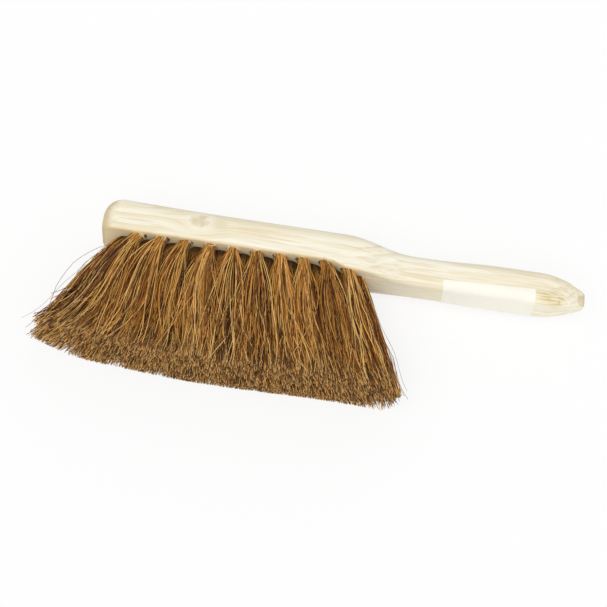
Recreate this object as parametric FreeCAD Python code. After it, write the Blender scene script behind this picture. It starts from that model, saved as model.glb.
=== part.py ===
"""A hand broom: a one-piece wooden stock, coir tufts stapled into drilled holes, and a paper label.

The broom lies on its side. +X runs along the handle to its tip, the bristles point to -Y and +Z is up.
While it is built, x = 0 is the nose, y = 0 the tufted face and z = 0 the middle of the stock's width.
At the end everything is moved so that the origin is the bottom centre of the whole broom.
"""
import FreeCAD, Part
import math
import os

# Wooden stock, in millimetres and degrees
overall_length = 287.0
block_width = 34.0
block_height = 20.7
back_edge_radius = 9.0
face_edge_radius = 2.0
nose_depth = 11.0
nose_back_drop = 12.6
nose_face_rise = 2.0
nose_side_inset = 5.0
nose_edge_radius = 3.0
crown_rise = 1.4
crown_length = 84.0

# Neck and handle, which start a little before the last tufts, the underside first
shoulder_lead = 22.0
neck_lag = 9.5
face_drop = 3.2
face_drop_length = 18.0
back_drop = 6.0
back_drop_length = 48.0
handle_dip = 2.0
neck_width = 24.0
swell_width = 26.4
swell_rise = 1.2
swell_from_tip = 45.0
grip_edge_radius = 7.5
underside_edge_radius = 5.5
edge_fade_length = 65.0
tip_taper_length = 28.0
tip_facet_rise = 5.2
tip_facet_height = 8.8
tip_facet_width = 8.0
tip_edge_radius = 2.6

# Tufts and their holes
tufts_in_full_row = 11
tuft_pitch = 13.5
row_pitch = 7.0
nose_margin = 15.9
hole_diameter = 7.5
hole_depth = 12.0
drill_point_angle = 118.0
tuft_clearance = 0.1
length_at_nose = 73.0
length_at_handle = 77.5
lean_at_nose = -31.0
lean_at_middle = 4.0
lean_at_handle = 19.5
brush_top_flare = 7.0
straight_reach = 4.0
tuft_gap = 0.5
tip_squareness = 3.4
flare_quickness = 5

# Wire staples that hold the folded fibres
wire_diameter = 1.0
staple_width = 5.0
staple_bend_radius = 1.2
staple_above_hole_bottom = 3.0
staple_leg_in_wood = 5.0
wire_clearance = 0.05

# Paper label round the lower edge of the handle
label_length = 54.7
label_from_tip = 30.2
label_thickness = 0.2
label_edge_height = 1.0
label_tilt = 2.2
label_end_slant = 7.0
label_underside_reach = 11.0

# How finely the smooth shapes are described
loft_degree = 3
drop_steps = 4
shoulder_steps = 10
shoulder_crowding = 1.5
grip_steps = 4
swell_steps = 2
rounding_steps = 6
crown_steps = 4
flare_shares = (0.1, 0.25, 0.5, 0.75, 1.0)
outline_points = 16

half_width = block_width / 2
row_length = tuft_pitch * (tufts_in_full_row - 1)
last_tuft_x = nose_margin + row_length
shoulder_x = last_tuft_x - shoulder_lead
neck_start_x = shoulder_x + neck_lag
neck_x = neck_start_x + back_drop_length
taper_x = overall_length - tip_taper_length
swell_x = overall_length - swell_from_tip
last_upper_tuft_x = last_tuft_x - tuft_pitch / 2
handle_height = block_height - back_drop + swell_rise + face_drop + handle_dip

# Rows from the lowest: name, tufts fewer than in a full row, and start in half pitches
# The lowest row has no last tuft, because the edge there is already rounded into the handle
rows = (("lower", 1, 0), ("lower_middle", 1, 1), ("upper_middle", 0, 0), ("upper", 1, 1))


def ease(x, start, end):
    """Rise from 0 at start to 1 at end, straight and level where it leaves and arrives."""
    share = min(1.0, max(0.0, (x - start) / (end - start)))
    return share ** 3 * (10.0 - 15.0 * share + 6.0 * share ** 2)


def face_y(x):
    """Height of the tufted face and of the handle's underside, which lies lower in two easy steps."""
    drop = face_drop * ease(x, shoulder_x, shoulder_x + face_drop_length)
    return -drop - handle_dip * ease(x, last_upper_tuft_x, neck_x)


def stock_section(x, grow=0.0):
    """Closed outline of the stock at one station: a rectangle with its four corners rounded."""
    nose = 1.0 - math.sqrt(1.0 - (1.0 - min(1.0, x / nose_depth)) ** 2)
    crown = crown_rise * max(0.0, 1.0 - x / crown_length) ** 2
    tip = min(1.0, max(0.0, (x - taper_x) / tip_taper_length)) ** 2
    neck = ease(x, neck_start_x, neck_x)
    swell = ease(x, neck_x, swell_x)
    grip = ease(x, neck_start_x, neck_start_x + edge_fade_length)

    low = face_y(x) + nose_face_rise * nose
    high = block_height + crown - back_drop * neck + swell_rise * swell - nose_back_drop * nose
    half = half_width - nose_side_inset * nose
    half += (neck_width - block_width) / 2 * neck
    half += (swell_width - neck_width) / 2 * swell
    low += tip_facet_rise * tip
    high -= (handle_height - tip_facet_rise - tip_facet_height) * tip
    half += (tip_facet_width - swell_width) / 2 * tip

    back_radius = back_edge_radius + (nose_edge_radius - back_edge_radius) * nose
    back_radius += (grip_edge_radius - back_edge_radius) * neck
    face_radius = face_edge_radius + (nose_edge_radius - face_edge_radius) * nose
    face_radius += (underside_edge_radius - face_edge_radius) * grip
    back_radius += (tip_edge_radius - grip_edge_radius) * tip
    face_radius += (tip_edge_radius - underside_edge_radius) * tip

    low -= grow
    high += grow
    half += grow
    corners = [
        (high, half, -1, -1, back_radius + grow),
        (high, -half, -1, 1, back_radius + grow),
        (low, -half, 1, 1, face_radius + grow),
        (low, half, 1, -1, face_radius + grow),
    ]
    arcs = []
    for index, (y, z, inward_y, inward_z, radius) in enumerate(corners):
        short = radius * (1.0 - math.sqrt(0.5))
        on_side = FreeCAD.Vector(x, y + inward_y * radius, z)
        on_flat = FreeCAD.Vector(x, y, z + inward_z * radius)
        middle = FreeCAD.Vector(x, y + inward_y * short, z + inward_z * short)
        ends = (on_side, on_flat) if index % 2 == 0 else (on_flat, on_side)
        arcs.append((ends[0], middle, ends[1]))
    edges = []
    for index, (start, middle, end) in enumerate(arcs):
        edges.append(Part.Arc(start, middle, end).toShape())
        edges.append(Part.makeLine(end, arcs[(index + 1) % len(arcs)][0]))
    return Part.Wire(edges)


def steps(start, end, count):
    """Evenly spaced stations from start up to, but not including, end."""
    return [start + (end - start) * index / count for index in range(count)]


def stock_loft(stations, grow=0.0):
    """Smooth solid through the stock's outlines at the given stations."""
    return Part.makeLoft([stock_section(x, grow) for x in stations], True, False, False, loft_degree)


def quarter_turns():
    """Angles that divide a quarter turn evenly, both ends included."""
    return [math.pi / 2 * index / rounding_steps for index in range(rounding_steps + 1)]


def handle_stations():
    """Stations along the neck and handle, closer together where the outline turns quickly."""
    shares = [share ** shoulder_crowding for share in steps(0.0, 1.0, shoulder_steps)]
    stations = steps(shoulder_x, neck_start_x, drop_steps)
    stations += [neck_start_x + back_drop_length * share for share in shares]
    stations += steps(neck_x, swell_x, grip_steps)
    stations += steps(swell_x, taper_x, swell_steps)
    return stations + steps(taper_x, overall_length, rounding_steps) + [overall_length]


def nose_stations():
    """Stations round the end of the nose, up to the block's full width."""
    return [nose_depth * (1.0 - math.cos(turn)) for turn in quarter_turns()]


def crown_stations():
    """Stations over which the back rises a little towards the nose."""
    return steps(nose_depth, crown_length, crown_steps) + [crown_length]


def plain_stock():
    """The stock before drilling: rounded nose, crowned and straight block, neck and handle."""
    block = Part.Face(stock_section(crown_length))
    block = block.extrude(FreeCAD.Vector(shoulder_x - crown_length, 0, 0))
    stations = (nose_stations(), crown_stations(), handle_stations())
    return block.fuse([stock_loft(group) for group in stations])


def fan_share(x):
    """Place of a root in the fan, from -1 at its nose end to 1 at its handle end."""
    half_fan = (row_length + tuft_pitch) / 2
    return (x - nose_margin - row_length / 2) / half_fan


def lean(x):
    """Angle of the fan at a root, a curve through the leans at the two ends and the middle."""
    share = fan_share(x)
    slope = (lean_at_handle - lean_at_nose) / 2
    bend = (lean_at_handle + lean_at_nose) / 2 - lean_at_middle
    return math.radians(lean_at_middle + slope * share + bend * share ** 2)


def trimmed_length(x):
    """Length of the fibres from the face to the trimmed tips, a little longer towards the handle."""
    return length_at_nose + (length_at_handle - length_at_nose) * (1.0 + fan_share(x)) / 2


def fan_point(x, reach):
    """Point of the fan that starts at root x, where reach is 0 at the face and 1 at the trimmed tips."""
    out = reach * trimmed_length(x)
    return FreeCAD.Vector(x + out * math.sin(lean(x)), face_y(x) - out * math.cos(lean(x)), 0)


def band(row, reach):
    """Lower and upper height of a row, counted from the lowest, which spreads from its holes to the trimmed tips."""
    lowest_tip = -half_width - tuft_gap / 2
    tip_pitch = (half_width + brush_top_flare - lowest_tip) / len(rows)
    edges = []
    for number in (row, row + 1):
        root = (number - len(rows) / 2) * row_pitch
        tip = lowest_tip + number * tip_pitch
        edges.append(root + reach * (tip - root))
    return edges


class Tuft:
    """Place, direction and cell of one tuft in the fan."""

    def __init__(self, name, x, row):
        self.name = name
        self.x = x
        self.row = row
        self.root = self.centre(0.0)
        self.out = (self.centre(1.0) - self.root).normalize()
        self.across = FreeCAD.Vector(-self.out.y, self.out.x, 0).normalize()
        self.upward = self.across.cross(self.out) * -1

    def sides(self, reach):
        """The two side points of the tuft's cell at mid-height."""
        low, high = band(self.row, reach)
        level = FreeCAD.Vector(0, 0, (low + high) / 2)
        left = fan_point(self.x - tuft_pitch / 2, reach) + level
        right = fan_point(self.x + tuft_pitch / 2, reach) + level
        return left, right

    def centre(self, reach):
        left, right = self.sides(reach)
        middle = (left + right) * 0.5
        if reach == 0.0:
            middle.y = face_y(self.x)
        return middle

    def placement(self):
        """Local z points out of the hole and local x along the row."""
        turn = FreeCAD.Rotation(self.across, self.upward, self.out, "ZXY")
        return FreeCAD.Placement(self.root, turn)


def all_tufts():
    """Four rows, each half a pitch off the next, so that the holes stand in a zigzag."""
    tufts = []
    for row, (row_name, left_out, half_pitches) in enumerate(rows):
        start = nose_margin + half_pitches * tuft_pitch / 2
        for index in range(tufts_in_full_row - left_out):
            name = "coir_tuft_%s_%02d" % (row_name, index + 1)
            tufts.append(Tuft(name, start + index * tuft_pitch, row))
    return tufts


def ring(centre, across, upward, half_across, half_upward, squareness):
    """Closed smooth outline, a circle at squareness 2 that gets squarer above it."""
    points = []
    for index in range(outline_points):
        angle = 2 * math.pi * index / outline_points
        c = math.cos(angle)
        s = math.sin(angle)
        along = math.copysign(abs(c) ** (2 / squareness), c)
        up = math.copysign(abs(s) ** (2 / squareness), s)
        points.append(centre + across * (half_across * along) + upward * (half_upward * up))
    curve = Part.BSplineCurve()
    curve.interpolate(Points=points, PeriodicFlag=True)
    return Part.Wire([curve.toShape()])


def tuft_solid(tuft):
    """Fibres packed round in the hole, opening outside it until neighbours almost touch."""
    radius = hole_diameter / 2 - tuft_clearance
    plug_depth = hole_depth - tuft_clearance
    rings = []
    for distance in (-plug_depth, straight_reach):
        place = tuft.root + tuft.out * distance
        rings.append(ring(place, tuft.across, tuft.upward, radius, radius, 2.0))
    first = straight_reach / trimmed_length(tuft.x)
    for share in flare_shares:
        reach = first + (1.0 - first) * share
        opening = 1.0 - (1.0 - share) ** flare_quickness
        left, right = tuft.sides(reach)
        low, high = band(tuft.row, reach)
        half_across = ((right - left).Length - tuft_gap) / 2
        half_upward = (high - low - tuft_gap) / 2
        half_across = radius + (half_across - radius) * opening
        half_upward = radius + (half_upward - radius) * opening
        squareness = 2.0 + (tip_squareness - 2.0) * opening
        across = (right - left).normalize()
        upward = FreeCAD.Vector(0, 0, 1)
        rings.append(ring((left + right) * 0.5, across, upward, half_across, half_upward, squareness))
    return Part.makeLoft(rings, True, True)


def hole_tool():
    """Drilled hole with its pointed end, open well above the face, along local -z."""
    radius = hole_diameter / 2
    point = radius / math.tan(math.radians(drill_point_angle / 2))
    outline = [(0, hole_diameter), (radius, hole_diameter), (radius, -hole_depth), (0, -hole_depth - point)]
    corners = [FreeCAD.Vector(r, 0, z) for r, z in outline]
    face = Part.Face(Part.makePolygon(corners + corners[:1]))
    return face.revolve(FreeCAD.Vector(), FreeCAD.Vector(0, 0, 1), 360)


def staple_solid(wire_radius):
    """U-shaped staple: the crown lies across the hole and both legs go on into the wood."""
    crown = staple_above_hole_bottom - hole_depth
    foot = -hole_depth - staple_leg_in_wood
    leg = (staple_width - wire_diameter) / 2
    bend = staple_bend_radius
    short = bend * (1.0 - math.sqrt(0.5))
    spots = [(-leg, foot), (-leg, crown - bend), (-leg + short, crown - short), (-leg + bend, crown)]
    spots += [(-x, z) for x, z in reversed(spots)]
    points = [FreeCAD.Vector(x, 0, z) for x, z in spots]
    path = Part.Wire([
        Part.makeLine(points[0], points[1]),
        Part.Arc(points[1], points[2], points[3]).toShape(),
        Part.makeLine(points[3], points[4]),
        Part.Arc(points[4], points[5], points[6]).toShape(),
        Part.makeLine(points[6], points[7]),
    ])
    start = Part.makeCircle(wire_radius, points[0], FreeCAD.Vector(0, 0, 1))
    return path.makePipeShell([Part.Wire([start])], True, False)


def placed(shape, tuft):
    copy = shape.copy()
    copy.Placement = tuft.placement()
    return copy


def label_solid(stock):
    """Paper that follows the handle from its upper side round the edge and across its underside."""
    end = overall_length - label_from_tip
    sheath = stock_loft(handle_stations(), label_thickness).cut(stock)
    deep = handle_height
    slant = math.tan(math.radians(label_end_slant))
    low, high = -label_underside_reach, swell_width
    outline = [FreeCAD.Vector(x - slant * z, label_edge_height - deep, z)
               for x, z in ((end - label_length, low), (end, low), (end, high), (end - label_length, high))]
    strip = Part.Face(Part.makePolygon(outline + outline[:1])).extrude(FreeCAD.Vector(0, deep, 0))
    edge_middle = FreeCAD.Vector(end - label_length / 2, label_edge_height, 0)
    return sheath.common(strip.rotated(edge_middle, FreeCAD.Vector(0, 0, 1), label_tilt))


tufts = all_tufts()
hole = hole_tool()
staple = staple_solid(wire_diameter / 2)
staple_room = staple_solid(wire_diameter / 2 + wire_clearance)

stock = plain_stock()
label = label_solid(stock)
stock = stock.cut([placed(hole, tuft) for tuft in tufts])
stock = stock.cut([placed(staple_room, tuft) for tuft in tufts])

pieces = {"wooden_stock": stock}
for tuft in tufts:
    pieces[tuft.name] = tuft_solid(tuft).cut(placed(staple_room, tuft))
pieces["wire_staples"] = Part.makeCompound([placed(staple, tuft) for tuft in tufts])
pieces["paper_label"] = label

whole = Part.makeCompound(list(pieces.values())).optimalBoundingBox(False)
bottom_centre = FreeCAD.Vector(whole.Center.x, whole.Center.y, whole.ZMin)
os.makedirs("parts", exist_ok=True)
for name, shape in pieces.items():
    shape.translate(bottom_centre * -1)
    shape.exportStep("parts/%s.step" % name)
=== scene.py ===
"""Hand broom: a bare pine stock with its handle, four rows of coir tufts in holes, and a blank label."""

import math

import bmesh
import bpy
import numpy as np
from mathutils import Matrix, Vector


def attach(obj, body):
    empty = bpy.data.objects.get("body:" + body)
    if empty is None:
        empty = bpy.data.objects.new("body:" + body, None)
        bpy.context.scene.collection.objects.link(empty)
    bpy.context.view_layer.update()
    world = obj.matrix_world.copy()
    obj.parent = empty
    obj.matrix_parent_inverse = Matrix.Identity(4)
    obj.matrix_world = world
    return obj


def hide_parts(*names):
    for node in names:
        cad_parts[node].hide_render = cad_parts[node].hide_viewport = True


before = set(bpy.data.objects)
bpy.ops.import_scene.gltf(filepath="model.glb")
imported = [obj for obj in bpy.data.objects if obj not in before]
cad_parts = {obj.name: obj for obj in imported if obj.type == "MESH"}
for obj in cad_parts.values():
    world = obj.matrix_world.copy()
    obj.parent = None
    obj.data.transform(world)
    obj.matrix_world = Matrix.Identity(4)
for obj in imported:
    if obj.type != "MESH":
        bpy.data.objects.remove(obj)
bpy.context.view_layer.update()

# Wooden stock
# Block and handle are one piece of pale softwood, sawn, rounded, sanded and left bare.
# The growth rings run along it, bend round one small knot on the side, and show as arcs on its two ends.
mm = 0.001
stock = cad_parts["wooden_stock"]
pale_wood = (0.945, 0.905, 0.76, 1.0)
late_wood = (0.77, 0.65, 0.43, 1.0)
warm_wood = (0.885, 0.805, 0.605, 1.0)
end_wood = (0.58, 0.45, 0.25, 1.0)
knot_wood = (0.68, 0.56, 0.37, 1.0)
collar_wood = (0.97, 0.94, 0.82, 1.0)
sallow_wood = (0.80, 0.69, 0.40, 1.0)
torn_wood = (0.58, 0.46, 0.22, 1.0)
drilled_face_tan = (0.95, 0.77, 0.45, 1.0)
knot_place = (-74 * mm, 39.7 * mm, 34 * mm)
knot_size = (5.4 * mm, 4.1 * mm, 40 * mm)
scar_place = (-63.5 * mm, 39 * mm, 34 * mm)
scar_size = (8 * mm, 5 * mm, 12 * mm)
sallow_place = (136 * mm, 26 * mm, 29 * mm)
sallow_size = (15 * mm, 5.5 * mm, 10 * mm)
tip_patch_place = (156 * mm, 30 * mm, 22.5 * mm)
tip_patch_size = (4.6 * mm, 4.2 * mm, 5 * mm)
pith_place = (0.0, 13 * mm, -9 * mm)
ring_pitch = 2.6 * mm
grain_sway = 8 * mm
drilled_until = 50 * mm


def finish_step(finish, kind, sockets, **options):
    """Adds one node to a finish. A socket is given a plain value, or the output that feeds it."""
    step = finish.node_tree.nodes.new("ShaderNode" + kind)
    for option, choice in options.items():
        setattr(step, option, choice)
    for socket, value in sockets.items():
        if isinstance(value, bpy.types.NodeSocket):
            finish.node_tree.links.new(value, step.inputs[socket])
        else:
            step.inputs[socket].default_value = value
    return step


def new_finish(name, **plain_sockets):
    """A finish with one Principled shader, whose plain sockets are set here."""
    finish = bpy.data.materials.new(name)
    finish.use_nodes = True
    shader = finish.node_tree.nodes["Principled BSDF"]
    for socket, value in plain_sockets.items():
        shader.inputs[socket.replace("_", " ")].default_value = value
    return finish, shader


def feed(finish, shader, **outputs):
    """Leads the worked-out colour, roughness or relief of a finish to its shader."""
    for socket, output in outputs.items():
        finish.node_tree.links.new(output, shader.inputs[socket.replace("_", " ")])


def cover(mesh, finish):
    """Gives a piece one finish all over."""
    mesh.materials.clear()
    mesh.materials.append(finish)


def object_place(finish):
    """Where a point of the piece lies."""
    return finish_step(finish, "TexCoord", {}).outputs["Object"]


def patches(finish, place, scale, detail, output="Fac"):
    """Cloudy noise, drawn out along the direction that has the smallest scale."""
    drawn = finish_step(finish, "Mapping", {"Vector": place, "Scale": scale}).outputs["Vector"]
    sockets = {"Vector": drawn, "Scale": 1.0, "Detail": detail}
    return finish_step(finish, "TexNoise", sockets).outputs[output]


def tint(finish, share, under, over, blend="MIX"):
    """Lays one colour over another by a share from 0 to 1."""
    sockets = {"Factor": share, 6: under, 7: over}
    return finish_step(finish, "Mix", sockets, data_type="RGBA", blend_type=blend).outputs[2]


def spread(finish, value, low, high, to_low=0.0, to_high=1.0):
    """Stretches a value's band from low to high over another band, with soft ends."""
    sockets = {"Value": value, "From Min": low, "From Max": high, "To Min": to_low, "To Max": to_high}
    return finish_step(finish, "MapRange", sockets, interpolation_type="SMOOTHSTEP").outputs["Result"]


def reckon(finish, operation, one, other):
    """One sum, product or the like of two values."""
    return finish_step(finish, "Math", {0: one, 1: other}, operation=operation).outputs["Value"]


def reckon_place(finish, operation, one, other):
    """One sum, quotient or the like of two places, direction by direction."""
    return finish_step(finish, "VectorMath", {0: one, 1: other}, operation=operation).outputs["Vector"]


def stretch(finish, way, share):
    """Makes a way longer or shorter."""
    return finish_step(finish, "VectorMath", {0: way, "Scale": share}, operation="SCALE").outputs["Vector"]


pine, pine_shader = new_finish("bare_pine", Specular_IOR_Level=0.25)
wood_place = object_place(pine)


def from_patch(spot, size):
    """The way from a spot of the stock, and its length, where 1 is the edge of a patch of that size."""
    way = reckon_place(pine, "SUBTRACT", wood_place, spot)
    shares = reckon_place(pine, "DIVIDE", way, size)
    return way, finish_step(pine, "VectorMath", {0: shares}, operation="LENGTH").outputs["Value"]


# The grain is pushed aside round the knot, and the trunk was not quite straight
from_knot, knot_far = from_patch(knot_place, knot_size)
knot_push = stretch(pine, from_knot, spread(pine, knot_far, 0.5, 4.5, -0.8, 0.0))
sway = patches(pine, wood_place, (7.0, 28.0, 28.0), 2.0, "Color")
sway_push = stretch(pine, reckon_place(pine, "SUBTRACT", sway, (0.5, 0.5, 0.5)), grain_sway)
grain_place = reckon_place(pine, "ADD", reckon_place(pine, "ADD", wood_place, knot_push), sway_push)

# Growth rings, pale early wood turning to a darker late edge, with streaks of three widths along the grain
from_pith = reckon_place(pine, "SUBTRACT", grain_place, pith_place)
ring_sockets = {"Vector": from_pith, "Scale": math.pi / (10 * ring_pitch), "Distortion": 0.5, "Detail": 2.0,
                "Detail Scale": 0.6}
ring_kind = {"wave_type": "RINGS", "rings_direction": "X", "wave_profile": "SAW"}
rings = finish_step(pine, "TexWave", ring_sockets, **ring_kind).outputs["Fac"]
late = spread(pine, rings, 0.3, 1.0)
fine_streaks = patches(pine, grain_place, (26.0, 1000.0, 1000.0), 3.0)
strips = patches(pine, grain_place, (9.0, 330.0, 330.0), 2.0)
broad_strips = patches(pine, grain_place, (10.0, 80.0, 80.0), 1.0)
wood_colour = tint(pine, spread(pine, broad_strips, 0.40, 0.72), pale_wood, warm_wood)
late_share = reckon(pine, "MULTIPLY", late, spread(pine, strips, 0.35, 0.65, 0.15, 0.75))
wood_colour = tint(pine, late_share, wood_colour, late_wood)
wood_colour = tint(pine, spread(pine, fine_streaks, 0.47, 0.70, 0.0, 0.75), wood_colour, late_wood)
wood_colour = tint(pine, spread(pine, strips, 0.52, 0.72, 0.0, 0.5), wood_colour, warm_wood)

# A sallow patch with torn grain near the tip, and a faint scar beside the knot
sallow_far = from_patch(sallow_place, sallow_size)[1]
wood_colour = tint(pine, spread(pine, sallow_far, 0.4, 1.0, 0.6, 0.0), wood_colour, sallow_wood)
torn_streaks = spread(pine, fine_streaks, 0.46, 0.6)
torn_share = reckon(pine, "MULTIPLY", spread(pine, sallow_far, 0.4, 0.9, 0.85, 0.0), torn_streaks)
wood_colour = tint(pine, torn_share, wood_colour, torn_wood)
scar_far = from_patch(scar_place, scar_size)[1]
wood_colour = tint(pine, spread(pine, scar_far, 0.3, 1.0, 0.4, 0.0), wood_colour, knot_wood)

# The knot has a ragged edge and a pale collar of swirling grain
flecks = patches(pine, wood_place, (330.0, 330.0, 40.0), 3.0)
knot_ragged = reckon(pine, "ADD", knot_far, spread(pine, flecks, 0.3, 0.7, -0.35, 0.35))
wood_colour = tint(pine, spread(pine, knot_ragged, 1.0, 2.2, 0.45, 0.0), wood_colour, collar_wood)
wood_colour = tint(pine, spread(pine, knot_ragged, 0.3, 1.25, 0.75, 0.0), wood_colour, knot_wood)
wood_colour = tint(pine, spread(pine, flecks, 0.5, 0.75, 0.0, 0.25), wood_colour, warm_wood)

# The drilled face is tinted tan over the block and fades out towards the handle, the two ends show end
# grain, and a darker patch sits on the tip
facing = finish_step(pine, "NewGeometry", {}).outputs["Normal"]
facing_parts = finish_step(pine, "SeparateXYZ", {"Vector": facing}).outputs
along_stock = finish_step(pine, "SeparateXYZ", {"Vector": wood_place}).outputs["X"]
drilled_side = spread(pine, facing_parts["Y"], -0.5, -0.9)
drilled_length = spread(pine, along_stock, drilled_until, 0.0, 0.0, 0.7)
drilled_share = reckon(pine, "MULTIPLY", drilled_side, drilled_length)
wood_colour = tint(pine, drilled_share, wood_colour, drilled_face_tan)
wood_colour = tint(pine, spread(pine, facing_parts["X"], -0.1, -0.6, 0.0, 0.85), wood_colour, end_wood)
wood_colour = tint(pine, spread(pine, facing_parts["X"], 0.5, 0.9, 0.0, 0.85), wood_colour, end_wood)
tip_patch_far = from_patch(tip_patch_place, tip_patch_size)[1]
wood_colour = tint(pine, spread(pine, tip_patch_far, 0.7, 0.95, 0.5, 0.0), wood_colour, torn_wood)

grain_height = reckon(pine, "SUBTRACT", fine_streaks, late)
grain_bump = {"Height": grain_height, "Strength": 0.3, "Distance": 0.2 * mm}
grain_relief = finish_step(pine, "Bump", grain_bump).outputs["Normal"]
wood_rough = spread(pine, fine_streaks, 0.3, 0.8, 0.52, 0.72)
feed(pine, pine_shader, Base_Color=wood_colour, Roughness=wood_rough, Normal=grain_relief)
cover(stock.data, pine)

# Wire staples
# Drawn steel wire bent to a hairpin, one in each hole. It straddles the fold of the fibres and its legs are
# driven into the wood, so almost nothing of it shows once the tuft is in.
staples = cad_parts["wire_staples"]
dull_wire = (0.42, 0.41, 0.40, 1.0)
bright_wire = (0.60, 0.59, 0.57, 1.0)
wire, wire_shader = new_finish("staple_wire", Metallic=1.0)
drawing_marks = patches(wire, object_place(wire), (4000.0, 300.0, 4000.0), 2.0)
wire_colour = tint(wire, spread(wire, drawing_marks, 0.3, 0.7), dull_wire, bright_wire)
feed(wire, wire_shader, Base_Color=wire_colour, Roughness=spread(wire, drawing_marks, 0.3, 0.7, 0.25, 0.45))
cover(staples.data, wire)

# Coir tufts
# Bundles of stiff brown coconut fibre, folded in the middle and pushed into the drilled holes. Each stands
# up as a tight round bundle, opens until it meets its neighbours, and is trimmed with them along one line.
rng = np.random.default_rng(31)
nose_end = -1
within_row = 0
handle_end = 1

# The bundle, and how it opens on its way to the trim
hole_depth = 12 * mm
bundle_radius = 3.35 * mm
straight_share = 0.03
flare_power = 2.1
outer_flare_power = {nose_end: 2.0, within_row: 1.7, handle_end: 1.7}
reach_points = np.array((-0.12, 0.0, 0.04, 0.09, 0.15, 0.21, 0.28, 0.35, 0.43, 0.51, 0.59, 0.67, 0.75, 0.83,
                         0.92, 1.0))

# Single fibres, and the locks that they stick together in
fibres_in_row = {"upper": 430, "upper_middle": 230, "lower_middle": 200, "lower": 450}
fibre_thickness = (0.13 * mm, 0.26 * mm)
thickness_at_tip = 0.8
fibre_bow = (2.8 * mm, 1.2 * mm)
fibre_waves = ((1.7, (0.7 * mm, 0.8 * mm)), (3.5, (0.3 * mm, 0.4 * mm)))
wave_pace = (0.7, 1.35)
wave_height = (0.1, 1.6)
wave_growth = 0.7
tone_shape = (0.48, 0.5)
tone_limit = 0.999
locks_in_tuft = 22
lock_disorder = 0.05
lock_width = 0.45
lock_drift = (1.2 * mm, 0.8 * mm)
lock_bow = (1.0 * mm, 0.6 * mm)
lock_tone = 0.10

# The cell that a tuft fills at the trim, and the fans towards the two ends of the rows
tip_scatter_along = {"upper": 3.6 * mm, "upper_middle": 3.6 * mm, "lower_middle": 3.6 * mm,
                     "lower": 4.4 * mm}
tip_scatter_upward = {nose_end: 3.2 * mm, within_row: 1.0 * mm, handle_end: 2.2 * mm}
lower_cell = (1.35, 1.0)
floor_press = 1.5 * mm
nose_fan_length = 110 * mm
nose_fan_shift = 12 * mm
handle_fan_length = 100 * mm
handle_fan_shift = 9 * mm
handle_spread = {"lower": 11 * mm, "lower_middle": 6 * mm}
nose_sweep = 22 * mm
sweep_limit = 4.4 * mm
sweep_upright = 0.07
sweep_variety = (0.5, 1.25)
end_hollow = {nose_end: 5 * mm}
end_fray = {nose_end: 1.5 * mm, handle_end: 0.7 * mm}
end_inset = {nose_end: 1.8 * mm, handle_end: 3.2 * mm}
end_bow_limit = 0.5 * mm
outer_seat_from = -0.3

# Fibres that leave their bundle: wild ones, straws across the middle tufts, and strays at the ends
wild_share = 0.20
wild_swerve = (9 * mm, 2 * mm)
wild_tone = 0.2
swerve_start = (0.0, 0.65)
swerve_power = 1.2
crossing_straws = 2
crossing_from_end = 45 * mm
crossing_swerve = (14 * mm, 26 * mm)
crossing_lift = (3 * mm, 6 * mm)
crossing_start = (0.1, 0.4)
crossing_tone = (0.85, 0.99)
strays_at_end = 3
stray_swerve = {nose_end: 12 * mm, handle_end: 7 * mm}
stray_bow = {nose_end: 13 * mm, handle_end: 5 * mm}
stray_tone = (0.02, 0.2)
stray_thickness = (0.08 * mm, 0.14 * mm)

# The trim, in shares of a fibre's full length, with a lift over a short way from the nose
trim_slack = {"upper": 0.025, "upper_middle": 0.025, "lower_middle": 0.025, "lower": 0.006}
short_share = {"upper": 0.16, "upper_middle": 0.14, "lower_middle": 0.10, "lower": 0.05}
short_length = (0.70, 0.98)
nose_trim_length = 42 * mm
nose_trim_gain = 0.025
nose_trim_slack = 0.03
nose_corner = {"lower": 0.06}
handle_corner = {"lower": 0.1}


def tuft_place(name):
    """Where a tuft stands: hole mouth, three directions, length to the trim, and half sizes there."""
    flat_slack = 1.2 * mm
    points = np.array([corner.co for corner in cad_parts[name].data.vertices])
    way = np.array((0.0, -1.0, 0.0))
    for turn in range(6):
        across = np.cross((0.0, 0.0, 1.0), way)
        across /= np.linalg.norm(across)
        upward = np.cross(way, across)
        axes = np.array((across, upward, way))
        local = points @ axes.T
        far = local[local[:, 2] > local[:, 2].max() - flat_slack]
        near = local[local[:, 2] < local[:, 2].min() + flat_slack]
        tip = (far.max(0) + far.min(0)) / 2 @ axes
        root = (near.max(0) + near.min(0)) / 2 @ axes
        way = (tip - root) / np.linalg.norm(tip - root)
    half = (far.max(0) - far.min(0))[:2] / 2
    mouth = root + way * hole_depth
    return mouth, axes, np.linalg.norm(tip - mouth), half


tufts = {name: tuft_place(name) for name in sorted(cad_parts) if name.startswith("coir_tuft_")}
outwards = {}
for name in tufts:
    row, number = name[len("coir_tuft_"):].rsplit("_", 1)
    last_in_row = "coir_tuft_%s_%02d" % (row, int(number) + 1) not in tufts
    outwards[name] = nose_end if number == "01" else handle_end if last_in_row else within_row
trim_points = np.array([mouth + axes[2] * length + axes[0] * half[0] * outwards[name]
                        for name, (mouth, axes, length, half) in tufts.items()])
trim_ends = trim_points[:, 0].min(), trim_points[:, 0].max()
trim_line = np.polynomial.Polynomial.fit(trim_points[:, 0], trim_points[:, 1], 4)


def trim_shift(tips, way):
    """How far each tip moves along its tuft to reach the line at which all were trimmed together."""
    shift = np.zeros(len(tips))
    for turn in range(4):
        x = np.clip(tips[:, 0] + way[0] * shift, *trim_ends)
        short_by = trim_line(x) - tips[:, 1] - way[1] * shift
        shift += short_by / (way[1] - trim_line.deriv()(x) * way[0])
    return shift


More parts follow.
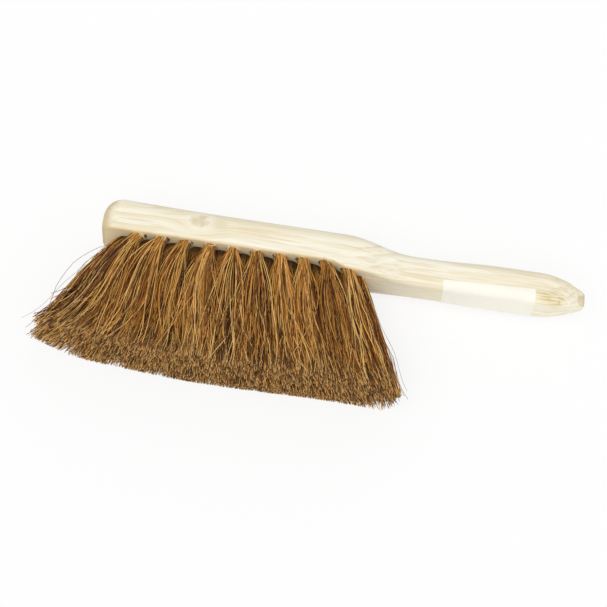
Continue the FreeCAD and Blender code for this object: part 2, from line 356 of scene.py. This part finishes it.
def disc_points(count, disorder):
    """Points spread evenly over a round bundle of radius 1, a little out of order."""
    golden_angle = math.pi * (3 - math.sqrt(5))
    turn = np.arange(count) * golden_angle + rng.uniform(0, 2 * math.pi)
    radius = np.sqrt((np.arange(count) + 0.5) / count)
    points = np.stack((radius * np.cos(turn), radius * np.sin(turn)), 1)
    return points + rng.normal(0, disorder, points.shape)


def squared(points):
    """Spreads a round bundle into the corners of the cell that it fills at the trim."""
    radius = np.linalg.norm(points, axis=1, keepdims=True)
    largest = np.abs(points).max(1, keepdims=True)
    return points * radius / np.maximum(largest, 1e-6)


def early_swell(share):
    """Rises from 0 to 1 by a third of the way, and falls back to 0 at the end."""
    return 6.75 * share * (1 - share) ** 2


def fibres_in_locks(count):
    """Seats of the fibres in a bundle of radius 1, and the drift, bow and tone of the lock of each."""
    middle = disc_points(locks_in_tuft, lock_disorder)
    drift = rng.normal(0, lock_drift, (locks_in_tuft, 2))
    bow = rng.normal(0, lock_bow, (locks_in_tuft, 2))
    tone = rng.normal(0, lock_tone, locks_in_tuft)
    lock = rng.integers(0, locks_in_tuft, count)
    seat = middle[lock] + rng.normal(0, lock_width, (count, 2))
    seat /= np.maximum(1.0, np.linalg.norm(seat, axis=1, keepdims=True))
    return seat, drift[lock], bow[lock], tone[lock]


def small_waves(count, reach, opened):
    """The waves that each fibre keeps from the husk, along and across the rows."""
    waves = np.zeros((count, 2, reach.size))
    for turns, sizes in fibre_waves:
        phase = rng.uniform(0, 2 * math.pi, (count, 2, 1))
        pace = turns * rng.uniform(*wave_pace, (count, 2, 1))
        height = np.array(sizes)[None, :, None] * rng.uniform(*wave_height, (count, 2, 1))
        wave = np.sin(2 * math.pi * pace * reach[:, None, :] + phase)
        waves += height * opened[:, None, :] ** wave_growth * wave
    return waves


def trim_shares(row, outward, seat, tip_x):
    """The share of its way to the trim at which each fibre ends. The rows are cut back at their corners."""
    count = len(seat)
    cut = 1 - np.abs(rng.normal(0, trim_slack[row], count))
    if outward == handle_end:
        cut -= handle_corner.get(row, 0.0) * np.clip(seat[:, 0] - outer_seat_from, 0, None) ** 2
    if row == "lower":
        cut += nose_trim_gain * early_swell(np.clip((tip_x - trim_ends[0]) / nose_trim_length, 0, 1))
    if outward == nose_end:
        cut -= np.abs(rng.normal(0, nose_trim_slack, count)) * np.clip(0.2 - seat[:, 0], 0, 1)
        cut -= nose_corner.get(row, 0.0) * np.clip(-seat[:, 0] - 0.2, 0, 1)
    short = rng.random(count) < short_share[row]
    cut[short] *= rng.uniform(*short_length, short.sum())
    return cut


def tuft_strands(row, outward, mouth, axes, length, half):
    """Paths, thicknesses and tones of a tuft's fibres. A tuft at an end of its row has an outward side."""
    count = fibres_in_row[row]
    reach = reach_points[None, :]
    opened = np.clip((reach - straight_share) / (1 - straight_share), 0, 1)
    seat, drift, bow, tone = fibres_in_locks(count)
    outer_share = np.clip(outward * seat[:, 0] - outer_seat_from, 0, 1) * abs(outward)

    # Where each tip goes at the trim
    if row == "lower":
        half = half * lower_cell
    tip_scatter = (tip_scatter_along[row], tip_scatter_upward[outward])
    target = squared(seat) * half + drift + rng.normal(0, tip_scatter, (count, 2))
    if row == "lower":
        target[:, 1] -= floor_press
    handle_shift = handle_spread.get(row, 0.0) if outward == handle_end else 0.0
    target[:, 0] += handle_shift * outer_share
    tip_x = mouth[0] + axes[2][0] * length + axes[0][0] * target[:, 0]
    from_nose = np.clip((tip_x - trim_ends[0]) / nose_fan_length, 0, 1)
    from_handle = np.clip((trim_ends[1] - tip_x) / handle_fan_length, 0, 1)
    target[:, 0] += nose_fan_shift * early_swell(from_nose)
    target[:, 0] -= handle_fan_shift * early_swell(from_handle)

    # How it bends on the way there
    bow = bow + rng.normal(0, fibre_bow, (count, 2))
    sweep_here = min(sweep_limit, nose_sweep * max(0.0, sweep_upright - axes[2][0]))
    sweep = sweep_here * rng.uniform(*sweep_variety, count) * (1 - 0.5 * outer_share)
    hollow = end_hollow.get(outward, 0.0) * np.clip(0.5 + 0.5 * outward * seat[:, 0], 0, 1)
    tone = np.clip(rng.beta(*tone_shape, count) + tone, 0.0, tone_limit)
    thickness = rng.uniform(*fibre_thickness, count)

    # Wild fibres, and straws that cross the others
    swerve = np.zeros((count, 2))
    swerve_from = rng.uniform(*swerve_start, (count, 1))
    wild = rng.random(count) < wild_share
    swerve[wild, 0] = rng.normal(0, wild_swerve[0], wild.sum())
    swerve[wild, 1] = np.abs(rng.normal(0, wild_swerve[1], wild.sum()))
    tone[wild] = np.clip(tone[wild] + wild_tone, 0.0, tone_limit)
    from_ends = min(tip_x.mean() - trim_ends[0], trim_ends[1] - tip_x.mean())
    if row == "upper" and from_ends > crossing_from_end:
        straws = slice(0, crossing_straws)
        side_of_straw = rng.choice((-1, 1), crossing_straws)
        swerve[straws, 0] = side_of_straw * rng.uniform(*crossing_swerve, crossing_straws)
        swerve[straws, 1] = rng.uniform(*crossing_lift, crossing_straws)
        swerve_from[straws, 0] = rng.uniform(*crossing_start, crossing_straws)
        tone[straws] = rng.uniform(*crossing_tone, crossing_straws)

    # The outward side of an end tuft keeps to a line, apart from a few thin strays
    if outward:
        fray = rng.exponential(end_fray[outward], count)
        edge = half[0] + handle_shift + fray - end_inset[outward]
        target[:, 0] = outward * np.minimum(outward * target[:, 0], edge)
        bow[:, 0] = outward * np.minimum(outward * bow[:, 0], end_bow_limit)
        swerve[:, 0] = outward * np.minimum(outward * swerve[:, 0], 0.0)
        strays = slice(0, strays_at_end)
        swerve[strays, 0] = outward * rng.uniform(0, stray_swerve[outward], strays_at_end)
        bow[strays, 0] = outward * rng.uniform(0, stray_bow[outward], strays_at_end)
        tone[strays] = rng.uniform(*stray_tone, strays_at_end)
        thickness[strays] = rng.uniform(*stray_thickness, strays_at_end)

    # The path from the seat to the trim, aside and then along
    quick_flare = 1 - (1 - opened) ** flare_power
    slow_flare = opened ** outer_flare_power[outward]
    flare = quick_flare + (slow_flare - quick_flare) * np.clip(outward * seat[:, :1], 0, 1)
    swerved = np.clip(opened - swerve_from, 0, 1) / (1 - swerve_from)
    start = seat * bundle_radius
    side = start[:, :, None] + (target - start)[:, :, None] * flare[:, None, :]
    side += bow[:, :, None] * np.sin(math.pi * opened)[:, None, :]
    side[:, 0] -= sweep[:, None] * early_swell(opened)
    side[:, 0] -= outward * hollow[:, None] * early_swell(1 - opened)
    side += swerve[:, :, None] * swerved[:, None, :] ** swerve_power
    side += small_waves(count, reach, opened)
    cut = trim_shares(row, outward, seat, tip_x)
    tips = side[:, :, -1] @ axes[:2] + axes[2] * length + mouth
    full_length = length + trim_shift(tips, axes[2])
    along = np.where(reach > 0, reach * (full_length * cut)[:, None], reach * length)
    paths = np.stack((side[:, 0], side[:, 1], along), 2) @ axes + mouth
    thickness = thickness[:, None] * np.interp(reach, (0.6, 1.0), (1.0, thickness_at_tip))
    paths[:, :, 2] = np.maximum(paths[:, :, 2], thickness)
    return paths, thickness, tone


# Tone runs across a strand's UV map in columns, and reach runs up it from the root to the tip
tone_columns = 64
# Roots in light start past the painted root shade; roots between the rows start inside it.
root_shade = {True: 0.15, False: 0.02}
reach_top = 0.97
ring_step = np.array((0.35, 0.5, 0.65, 0.5))
ring_rise = np.array((0.0, 0.004, 0.0, -0.004))


def strand_mesh(name, paths, thickness, tone, shade_from):
    """Four-sided strands along the paths, closed at both ends, with tone and reach on their UV map."""
    strands = bpy.data.curves.new(name, "CURVE")
    strands.dimensions = "3D"
    strands.bevel_depth = 1.0
    strands.bevel_resolution = 0
    count, points = paths.shape[:2]
    for path, radii in zip(paths, thickness):
        spline = strands.splines.new("POLY")
        spline.points.add(points - 1)
        spline.points.foreach_set("co", np.column_stack((path, np.ones(points))).ravel())
        spline.points.foreach_set("radius", radii)
    pattern = bpy.data.objects.new(name + "_pattern", strands)
    mesh = bpy.data.meshes.new_from_object(pattern)
    bpy.data.objects.remove(pattern)
    bpy.data.curves.remove(strands)

    body = bmesh.new()
    body.from_mesh(mesh)
    bmesh.ops.holes_fill(body, edges=[edge for edge in body.edges if edge.is_boundary], sides=4)
    body.to_mesh(mesh)
    body.free()

    column = np.floor(tone * tone_columns)[:, None, None]
    reach = shade_from + (reach_top - shade_from) * np.clip(reach_points, 0, 1)[None, :, None]
    across = np.broadcast_to((column + ring_step) / tone_columns, (count, points, 4))
    upward = np.broadcast_to(reach + ring_rise, (count, points, 4))
    uv = np.stack((across.ravel(), upward.ravel()), 1)
    mesh.uv_layers[0].name = "OFBake"
    corner = np.zeros(len(mesh.loops), dtype=np.int32)
    mesh.loops.foreach_get("vertex_index", corner)
    mesh.uv_layers[0].data.foreach_set("uv", uv[corner].ravel())
    return mesh


# Fibres differ from near black to straw, in hue too, and carry dark flecks. Their roots carry golden
# painted light where light falls on them and dark painted shade between the rows, and their cut ends are
# pale or dark.
coir_tones = ((0.0, (0.045, 0.017, 0.007)), (0.22, (0.19, 0.073, 0.018)), (0.5, (0.54, 0.233, 0.045)),
              (0.78, (0.82, 0.405, 0.085)), (1.0, (0.97, 0.64, 0.23)))
reddish = (1.0, 0.80, 0.70, 1.0)
greenish = (0.97, 0.99, 0.84, 1.0)
fleck_brown = (0.11, 0.042, 0.012, 1.0)
painted_lit_root = (0.48, 0.235, 0.045, 1.0)
painted_root_shade = (0.028, 0.012, 0.006, 1.0)
dark_tip = (0.07, 0.03, 0.012, 1.0)
pale_tip = (0.86, 0.55, 0.20, 1.0)
coir, coir_shader = new_finish("coir_fibre", Specular_IOR_Level=0.22)
strand_uv = finish_step(coir, "UVMap", {}, uv_map="OFBake").outputs["UV"]
strand_place = finish_step(coir, "SeparateXYZ", {"Vector": strand_uv}).outputs
strand_tone = reckon(coir, "SNAP", strand_place["X"], 1 / tone_columns)
strand_reach = strand_place["Y"]
coir_ramp = finish_step(coir, "ValToRGB", {"Fac": strand_tone})
stops = coir_ramp.color_ramp.elements
for at, shade in coir_tones[1:-1]:
    stops.new(at)
for stop, (at, shade) in zip(stops, coir_tones):
    stop.position = at
    stop.color = (*shade, 1.0)
along_strand = finish_step(coir, "CombineXYZ", {"X": strand_tone, "Y": strand_reach}).outputs["Vector"]
strand_flecks = patches(coir, along_strand, (190.0, 9.0, 1.0), 2.0)
fibre_kind = finish_step(coir, "TexWhiteNoise", {"W": strand_tone}, noise_dimensions="1D").outputs["Value"]
coir_colour = coir_ramp.outputs["Color"]
coir_colour = tint(coir, spread(coir, fibre_kind, 0.55, 0.95), coir_colour, reddish, "MULTIPLY")
coir_colour = tint(coir, spread(coir, fibre_kind, 0.45, 0.05), coir_colour, greenish, "MULTIPLY")
coir_colour = tint(coir, spread(coir, strand_flecks, 0.45, 0.8, 0.0, 0.6), coir_colour, fleck_brown)
# Painted light: a golden tint near the roots.
coir_colour = tint(coir, spread(coir, strand_reach, 0.15, 0.30, 0.3, 0.0), coir_colour, painted_lit_root)
# Painted shade: the roots of the rows between go dark near the holes.
coir_colour = tint(coir, spread(coir, strand_reach, 0.035, 0.145, 0.84, 0.0), coir_colour, painted_root_shade)
near_end = spread(coir, strand_reach, 0.80, 0.94)
dark_share = reckon(coir, "MULTIPLY", near_end, spread(coir, fibre_kind, 0.55, 0.25, 0.0, 0.72))
pale_share = reckon(coir, "MULTIPLY", near_end, spread(coir, fibre_kind, 0.65, 0.95, 0.0, 0.7))
coir_colour = tint(coir, dark_share, coir_colour, dark_tip)
coir_colour = tint(coir, pale_share, coir_colour, pale_tip)
feed(coir, coir_shader, Base_Color=coir_colour, Roughness=spread(coir, strand_flecks, 0.2, 0.8, 0.42, 0.62))

for name, place in tufts.items():
    row = name[len("coir_tuft_"):].rsplit("_", 1)[0]
    paths, thickness, tone = tuft_strands(row, outwards[name], *place)
    root_in_painted_light = row == "upper" or outwards[name] == handle_end
    fibres_name = "fibres_" + name[len("coir_tuft_"):]
    mesh = strand_mesh(fibres_name, paths, thickness, tone, root_shade[root_in_painted_light])
    cover(mesh, coir)
    tuft = bpy.data.objects.new(mesh.name, mesh)
    bpy.context.scene.collection.objects.link(tuft)
    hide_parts(name)
    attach(tuft, "root")

# Torn wood
# Pale splinters that the drill tore up round the mouths of the upper holes. They still hang on the stock
# and curl over the necks of the tufts, most of all at the nose.
hole_radius = 3.75 * mm
splinters_at_hole = {"01": 18, "02": 22, "03": 8, "04": 12, "05": 22, "06": 10}
few_splinters = 6
splinter_seat = (1.0, 1.12)
splinter_lean = (0.1 * mm, 0.7 * mm)
splinter_twist = 0.5
splinter_curl = (0.2, 1.0)
splinter_width = (0.16 * mm, 0.32 * mm)
width_at_tip = 0.45
rooted_share = 0.35
fresh_wood = (0.96, 0.90, 0.68, 1.0)
shaded_wood = (0.86, 0.75, 0.45, 1.0)
share = np.linspace(0.0, 1.0, len(reach_points))[None, :]
splinter_paths = []
for name, (mouth, axes, length, half) in tufts.items():
    if not name.startswith("coir_tuft_upper_0"):
        continue
    count = splinters_at_hole.get(name[-2:], few_splinters)
    turn = rng.uniform(-1.0, 1.0, (count, 1))
    seat_radius = rng.uniform(*splinter_seat, (count, 1)) * hole_radius
    splinter_length = rng.gamma(3.0, 0.6, (count, 1)) * mm
    radius = seat_radius + rng.normal(*splinter_lean, (count, 1)) * share ** 1.5
    angle = turn + rng.normal(0, splinter_twist, (count, 1)) * share ** 2
    curl = rng.uniform(*splinter_curl, (count, 1)) * share ** 3
    along = (share * (1 + rooted_share) - rooted_share - curl) * splinter_length
    local_paths = np.stack((radius * np.sin(angle), radius * np.cos(angle), along), 2)
    splinter_paths.append(local_paths @ axes + mouth)
splinter_paths = np.concatenate(splinter_paths)
splinter_count = len(splinter_paths)
splinter_taper = np.linspace(1.0, width_at_tip, len(reach_points))[None, :]
splinter_widths = rng.uniform(*splinter_width, (splinter_count, 1)) * splinter_taper
torn_mesh = strand_mesh("torn_wood", splinter_paths, splinter_widths, np.zeros(splinter_count), 0.0)
torn_mesh.uv_layers.remove(torn_mesh.uv_layers[0])
torn, torn_shader = new_finish("torn_pine", Roughness=0.7, Specular_IOR_Level=0.2)
torn_patches = patches(torn, object_place(torn), (700.0, 700.0, 700.0), 1.0)
torn_colour = tint(torn, spread(torn, torn_patches, 0.4, 0.65), fresh_wood, shaded_wood)
feed(torn, torn_shader, Base_Color=torn_colour)
cover(torn_mesh, torn)
torn_edges = bpy.data.objects.new("torn_wood", torn_mesh)
bpy.context.scene.collection.objects.link(torn_edges)
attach(torn_edges, "root")

# Paper label
# A strip of thin white paper, glued round the side and the lower edge of the handle and left blank.
# Its pulp is a little cloudy, and its face is matt.
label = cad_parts["paper_label"]
white_paper = (0.95, 0.93, 0.83, 1.0)
paper_fibre = (0.92, 0.895, 0.78, 1.0)
dull_paper = (0.90, 0.87, 0.745, 1.0)
paper, paper_shader = new_finish("label_paper", Specular_IOR_Level=0.3)
paper_place = object_place(paper)
pulp = patches(paper, paper_place, (900.0, 900.0, 900.0), 3.0)
clouds = patches(paper, paper_place, (60.0, 60.0, 60.0), 2.0)
paper_colour = tint(paper, spread(paper, pulp, 0.4, 0.7), white_paper, paper_fibre)
paper_colour = tint(paper, spread(paper, clouds, 0.45, 0.75, 0.0, 0.5), paper_colour, dull_paper)
paper_height = reckon(paper, "ADD", clouds, pulp)
paper_bump = {"Height": paper_height, "Strength": 0.2, "Distance": 0.1 * mm}
paper_relief = finish_step(paper, "Bump", paper_bump).outputs["Normal"]
paper_rough = spread(paper, pulp, 0.3, 0.7, 0.55, 0.7)
feed(paper, paper_shader, Base_Color=paper_colour, Roughness=paper_rough, Normal=paper_relief)
cover(label.data, paper)

# Floor
# A plain white table top, on which the broom lies flat on one side of its block.
# The camera and reflections see it lifted towards white, and it keeps the broom's shadow.
floor_size = 6.0
floor_white = (0.93, 0.93, 0.925, 1.0)
floor_lift = 0.78
floor_mesh = bpy.data.meshes.new("table_top")
floor_body = bmesh.new()
bmesh.ops.create_grid(floor_body, x_segments=1, y_segments=1, size=floor_size / 2)
floor_body.to_mesh(floor_mesh)
floor_body.free()
floor = bpy.data.objects.new("table_top", floor_mesh)
bpy.context.scene.collection.objects.link(floor)
white_top, white_shader = new_finish("white_table_top", Roughness=0.9, Specular_IOR_Level=0.0)
white_shader.inputs["Base Color"].default_value = floor_white
white_glow = {"Color": (1.0, 1.0, 1.0, 1.0), "Strength": 1.0}
glow = finish_step(white_top, "Emission", white_glow).outputs["Emission"]
floor_ray = finish_step(white_top, "LightPath", {}).outputs
floor_seen = reckon(white_top, "MAXIMUM", floor_ray["Is Camera Ray"], floor_ray["Is Glossy Ray"])
lift_share = reckon(white_top, "MULTIPLY", floor_seen, floor_lift)
lifted = finish_step(white_top, "MixShader", {0: lift_share, 1: white_shader.outputs["BSDF"], 2: glow})
feed(white_top, white_top.node_tree.nodes["Material Output"], Surface=lifted.outputs["Shader"])
cover(floor_mesh, white_top)

# Light
# One very large soft lamp above the broom, a little in front of it, and an even pale surround.
# The surround is white to the camera and gives a plain level of light.
sky_light = 0.62
lamp_light = 0.48 * math.pi
lamp_spread = math.radians(60)
lamp_direction = Vector((0.22, 0.42, -0.88))
lamp = bpy.data.objects.new("soft_lamp", bpy.data.lights.new("soft_lamp", "SUN"))
lamp.data.energy = lamp_light
lamp.data.angle = lamp_spread
lamp.rotation_euler = lamp_direction.to_track_quat("-Z", "Y").to_euler()
bpy.context.scene.collection.objects.link(lamp)
surround = bpy.data.worlds.new("pale_surround")
bpy.context.scene.world = surround
surround.use_nodes = True
backdrop = surround.node_tree.nodes["Background"]
backdrop.inputs["Color"].default_value = (1.0, 1.0, 1.0, 1.0)
sky_ray = finish_step(surround, "LightPath", {}).outputs["Is Camera Ray"]
sky_strength = finish_step(surround, "MapRange", {"Value": sky_ray, "To Min": sky_light}).outputs["Result"]
feed(surround, backdrop, Strength=sky_strength)

# Camera
# High over the bristle side, turned a little so that the handle falls away to the right.
# Its focal length is given in pixels of the photograph.
view_azimuth = math.radians(-7)
view_height = math.radians(66)
view_roll = math.radians(14.75)
view_distance = 0.8
view_target = Vector((-7.57, 4.63, 17.0)) * mm
photo_width = 607
focal_pixels = 1374.5
camera = bpy.data.objects.new("camera", bpy.data.cameras.new("camera"))
camera.data.sensor_width = 36.0
camera.data.lens = focal_pixels / photo_width * camera.data.sensor_width
camera.data.clip_start = 0.01
level = Vector((math.cos(view_azimuth), math.sin(view_azimuth), 0.0))
outward_level = Vector((math.sin(view_azimuth), -math.cos(view_azimuth), 0.0))
backward = outward_level * math.cos(view_height) + Vector((0.0, 0.0, math.sin(view_height)))
rising = backward.cross(level)
picture_right = level * math.cos(view_roll) + rising * math.sin(view_roll)
picture_up = rising * math.cos(view_roll) - level * math.sin(view_roll)
camera_turn = Matrix((picture_right, picture_up, backward)).transposed().to_4x4()
camera.matrix_world = Matrix.Translation(view_target + backward * view_distance) @ camera_turn
bpy.context.scene.collection.objects.link(camera)
bpy.context.scene.camera = camera
bpy.context.scene.view_settings.view_transform = "Standard"
